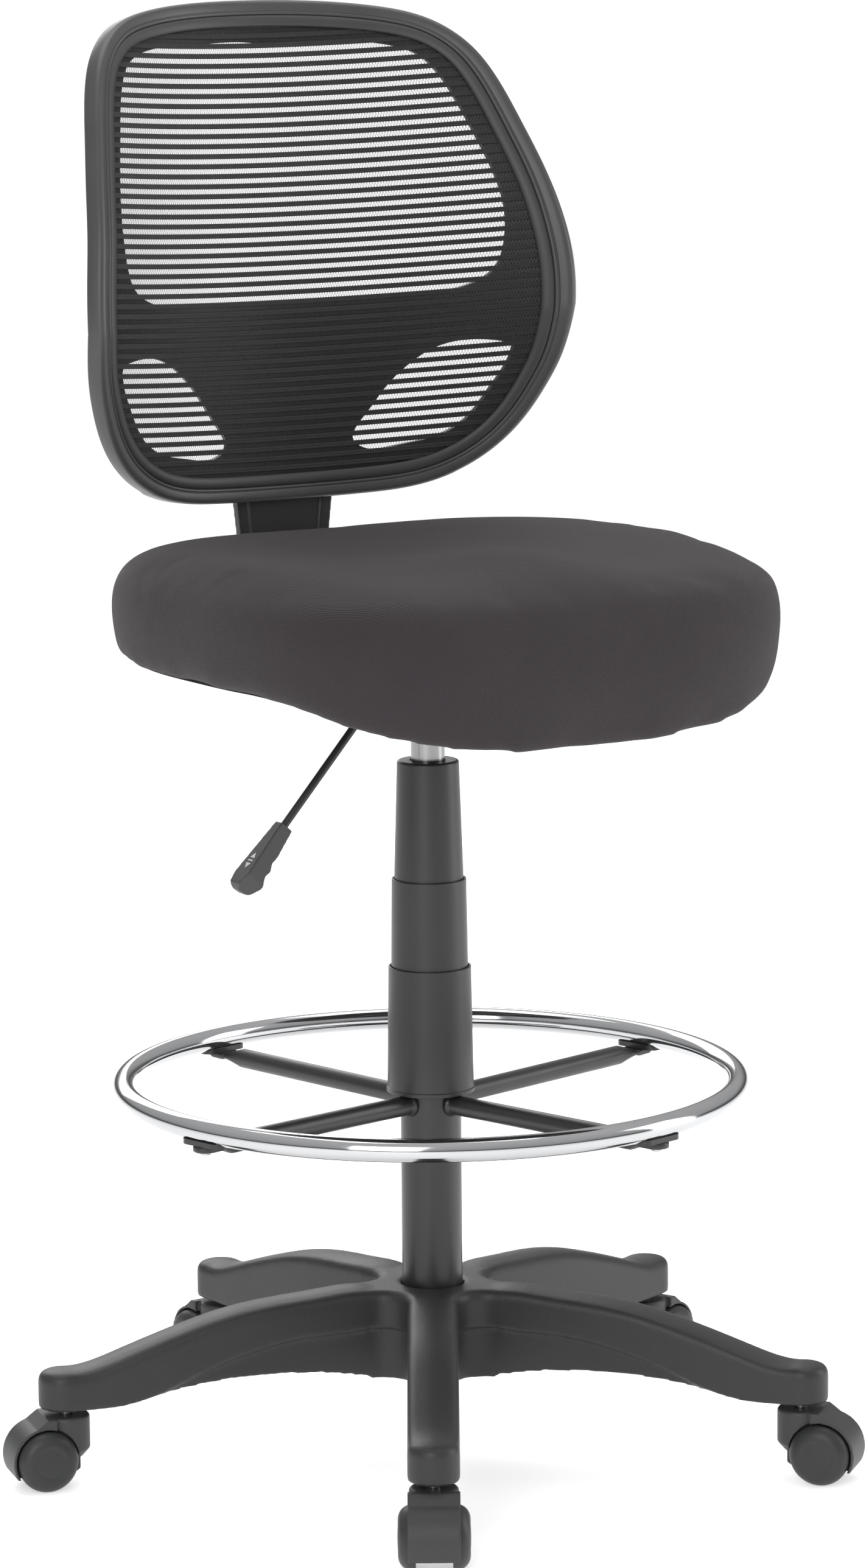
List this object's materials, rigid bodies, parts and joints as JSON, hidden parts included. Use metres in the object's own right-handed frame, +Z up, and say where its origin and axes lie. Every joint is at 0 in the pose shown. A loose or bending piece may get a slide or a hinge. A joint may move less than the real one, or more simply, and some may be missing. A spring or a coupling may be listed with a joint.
{
  "type": "drafting chair",
  "caption": "Tall drafting chair with a ribbed mesh back, dished fabric seat, gas lift in telescopic sleeves, chrome foot ring and a star base on twin-wheel casters.",
  "frame": {"origin": "on the floor, on the axis of the column", "axes": "+Z up along the column; the chair faces -Y, so the sitter's right and the height lever are on the -X side"},
  "size_m": [0.7021, 0.6848, 1.1913],
  "materials": {
    "base_nylon": "black glass-filled nylon with a fine pebble texture",
    "hood_nylon": "satin dark grey-black nylon",
    "wheel_nylon": "satin dark grey nylon",
    "sleeve_plastic": "satin black polypropylene, lightly scuffed",
    "black_steel": "satin black powder coat",
    "spoke_paint": "satin black powder coat",
    "bracket_steel": "satin black moulded and coated bracket",
    "white_nylon": "natural nylon",
    "bright_steel": "bright turned steel",
    "cylinder_steel": "ground and chromed steel",
    "chrome_ring": "polished chrome plate",
    "zinc_screws": "zinc-plated steel",
    "black_screws": "black oxide steel",
    "seat_board": "contoured plywood under a black dust cloth",
    "seat_fabric": "warm black woven upholstery with a fine diagonal grain",
    "back_plastic": "satin black polypropylene",
    "bead_plastic": "satin black extruded bead",
    "shell_plastic": "fine-grained black polypropylene",
    "back_mesh": "black ribbed mesh, see-through between its ribs",
    "paddle_plastic": "satin charcoal plastic"
  },
  "bodies": {
    "base": {"base_star": "base_nylon", "column_tube": "black_steel", "guide_bushing": "white_nylon", "thrust_bearing": "bright_steel", "sleeve_lower": "sleeve_plastic", "foot_ring": "chrome_ring", "foot_ring_spoke_1": "spoke_paint", "foot_ring_spoke_2": "spoke_paint", "foot_ring_spoke_3": "spoke_paint", "foot_ring_spoke_4": "spoke_paint", "ring_saddles": "spoke_paint", "ring_screws": "zinc_screws"},
    "piston": {"piston_rod": "bright_steel", "retaining_clip": "bright_steel"},
    "seat": {"gas_cylinder": "cylinder_steel", "taper_socket": "black_steel", "seat_mechanism": "black_steel", "lever_bracket": "black_steel", "seat_pan": "seat_board", "seat_cushion": "seat_fabric", "t_nuts": "zinc_screws", "mechanism_bolts": "zinc_screws", "bracket_bolts": "zinc_screws", "back_rim": "back_plastic", "mesh_bead": "bead_plastic", "mesh_panel": "back_mesh", "back_shell": "shell_plastic", "back_bracket": "bracket_steel", "back_screws": "black_screws"},
    "lever": {"lever_rod": "black_steel", "lever_paddle": "paddle_plastic"},
    "button": {"release_button": "bright_steel"},
    "sleeve_top": {"sleeve_upper": "sleeve_plastic"},
    "sleeve_mid": {"sleeve_middle": "sleeve_plastic"},
    "caster_1": {"caster_hood_1": "hood_nylon", "caster_stem_1": "bright_steel", "caster_axle_1": "bright_steel"},
    "wheel_1_a": {"caster_wheel_a_1": "wheel_nylon"},
    "wheel_1_b": {"caster_wheel_b_1": "wheel_nylon"},
    "caster_2": {"caster_hood_2": "hood_nylon", "caster_stem_2": "bright_steel", "caster_axle_2": "bright_steel"},
    "wheel_2_a": {"caster_wheel_a_2": "wheel_nylon"},
    "wheel_2_b": {"caster_wheel_b_2": "wheel_nylon"},
    "caster_3": {"caster_hood_3": "hood_nylon", "caster_stem_3": "bright_steel", "caster_axle_3": "bright_steel"},
    "wheel_3_a": {"caster_wheel_a_3": "wheel_nylon"},
    "wheel_3_b": {"caster_wheel_b_3": "wheel_nylon"},
    "caster_4": {"caster_hood_4": "hood_nylon", "caster_stem_4": "bright_steel", "caster_axle_4": "bright_steel"},
    "wheel_4_a": {"caster_wheel_a_4": "wheel_nylon"},
    "wheel_4_b": {"caster_wheel_b_4": "wheel_nylon"},
    "caster_5": {"caster_hood_5": "hood_nylon", "caster_stem_5": "bright_steel", "caster_axle_5": "bright_steel"},
    "wheel_5_a": {"caster_wheel_a_5": "wheel_nylon"},
    "wheel_5_b": {"caster_wheel_b_5": "wheel_nylon"}
  },
  "joints": [
    {"name": "seat_swivel", "type": "hinge", "parent": "base", "child": "piston", "pos_m": [0, 0, 0.07], "axis": [0, 0, 1], "continuous": true},
    {"name": "seat_lift", "type": "slide", "parent": "piston", "child": "seat", "axis": [0, 0, 1], "range_m": [-0.127, 0]},
    {"name": "sleeve_top_slide", "type": "slide", "parent": "base", "child": "sleeve_top", "axis": [0, 0, 1], "range_m": [-0.1045, 0]},
    {"name": "sleeve_mid_slide", "type": "slide", "parent": "base", "child": "sleeve_mid", "axis": [0, 0, 1], "range_m": [-0.0447, 0]},
    {"name": "lever_lift", "type": "hinge", "parent": "seat", "child": "lever", "pos_m": [-0.03, 0, 0.651], "axis": [0, 1, 0], "range_deg": [0, 6], "stiffness_Nm_per_rad": 1.2, "springref_deg": -2.86},
    {"name": "button_press", "type": "slide", "parent": "seat", "child": "button", "axis": [0, 0, 1], "range_m": [-0.0033, 0]},
    {"name": "caster_1_swivel", "type": "hinge", "parent": "base", "child": "caster_1", "pos_m": [-0.16459, -0.26858, 0.06], "axis": [0, 0, 1], "continuous": true},
    {"name": "wheel_1_a_spin", "type": "hinge", "parent": "caster_1", "child": "wheel_1_a", "pos_m": [-0.17504, -0.28563, 0.025], "axis": [0.8526, -0.5225, 0], "continuous": true},
    {"name": "wheel_1_b_spin", "type": "hinge", "parent": "caster_1", "child": "wheel_1_b", "pos_m": [-0.17504, -0.28563, 0.025], "axis": [0.8526, -0.5225, 0], "continuous": true},
    {"name": "caster_2_swivel", "type": "hinge", "parent": "base", "child": "caster_2", "pos_m": [0.20458, -0.23953, 0.06], "axis": [0, 0, 1], "continuous": true},
    {"name": "wheel_2_a_spin", "type": "hinge", "parent": "caster_2", "child": "wheel_2_a", "pos_m": [0.21757, -0.25474, 0.025], "axis": [0.7604, 0.6494, 0], "continuous": true},
    {"name": "wheel_2_b_spin", "type": "hinge", "parent": "caster_2", "child": "wheel_2_b", "pos_m": [0.21757, -0.25474, 0.025], "axis": [0.7604, 0.6494, 0], "continuous": true},
    {"name": "caster_3_swivel", "type": "hinge", "parent": "base", "child": "caster_3", "pos_m": [0.29102, 0.12054, 0.06], "axis": [0, 0, 1], "continuous": true},
    {"name": "wheel_3_a_spin", "type": "hinge", "parent": "caster_3", "child": "wheel_3_a", "pos_m": [0.3095, 0.1282, 0.025], "axis": [-0.3827, 0.9239, 0], "continuous": true},
    {"name": "wheel_3_b_spin", "type": "hinge", "parent": "caster_3", "child": "wheel_3_b", "pos_m": [0.3095, 0.1282, 0.025], "axis": [-0.3827, 0.9239, 0], "continuous": true},
    {"name": "caster_4_swivel", "type": "hinge", "parent": "base", "child": "caster_4", "pos_m": [-0.02472, 0.31403, 0.06], "axis": [0, 0, 1], "continuous": true},
    {"name": "wheel_4_a_spin", "type": "hinge", "parent": "caster_4", "child": "wheel_4_a", "pos_m": [-0.02628, 0.33397, 0.025], "axis": [-0.9969, -0.0785, 0], "continuous": true},
    {"name": "wheel_4_b_spin", "type": "hinge", "parent": "caster_4", "child": "wheel_4_b", "pos_m": [-0.02628, 0.33397, 0.025], "axis": [-0.9969, -0.0785, 0], "continuous": true},
    {"name": "caster_5_swivel", "type": "hinge", "parent": "base", "child": "caster_5", "pos_m": [-0.3063, 0.07354, 0.06], "axis": [0, 0, 1], "continuous": true},
    {"name": "wheel_5_a_spin", "type": "hinge", "parent": "caster_5", "child": "wheel_5_a", "pos_m": [-0.32574, 0.0782, 0.025], "axis": [-0.2334, -0.9724, 0], "continuous": true},
    {"name": "wheel_5_b_spin", "type": "hinge", "parent": "caster_5", "child": "wheel_5_b", "pos_m": [-0.32574, 0.0782, 0.025], "axis": [-0.2334, -0.9724, 0], "continuous": true}
  ],
  "couplings": [
    {"joint": "sleeve_top_slide", "follows": "seat_lift", "ratio": 0.82},
    {"joint": "sleeve_mid_slide", "follows": "seat_lift", "ratio": 0.35},
    {"joint": "button_press", "follows": "lever_lift", "m_per_rad": -0.03}
  ]
}
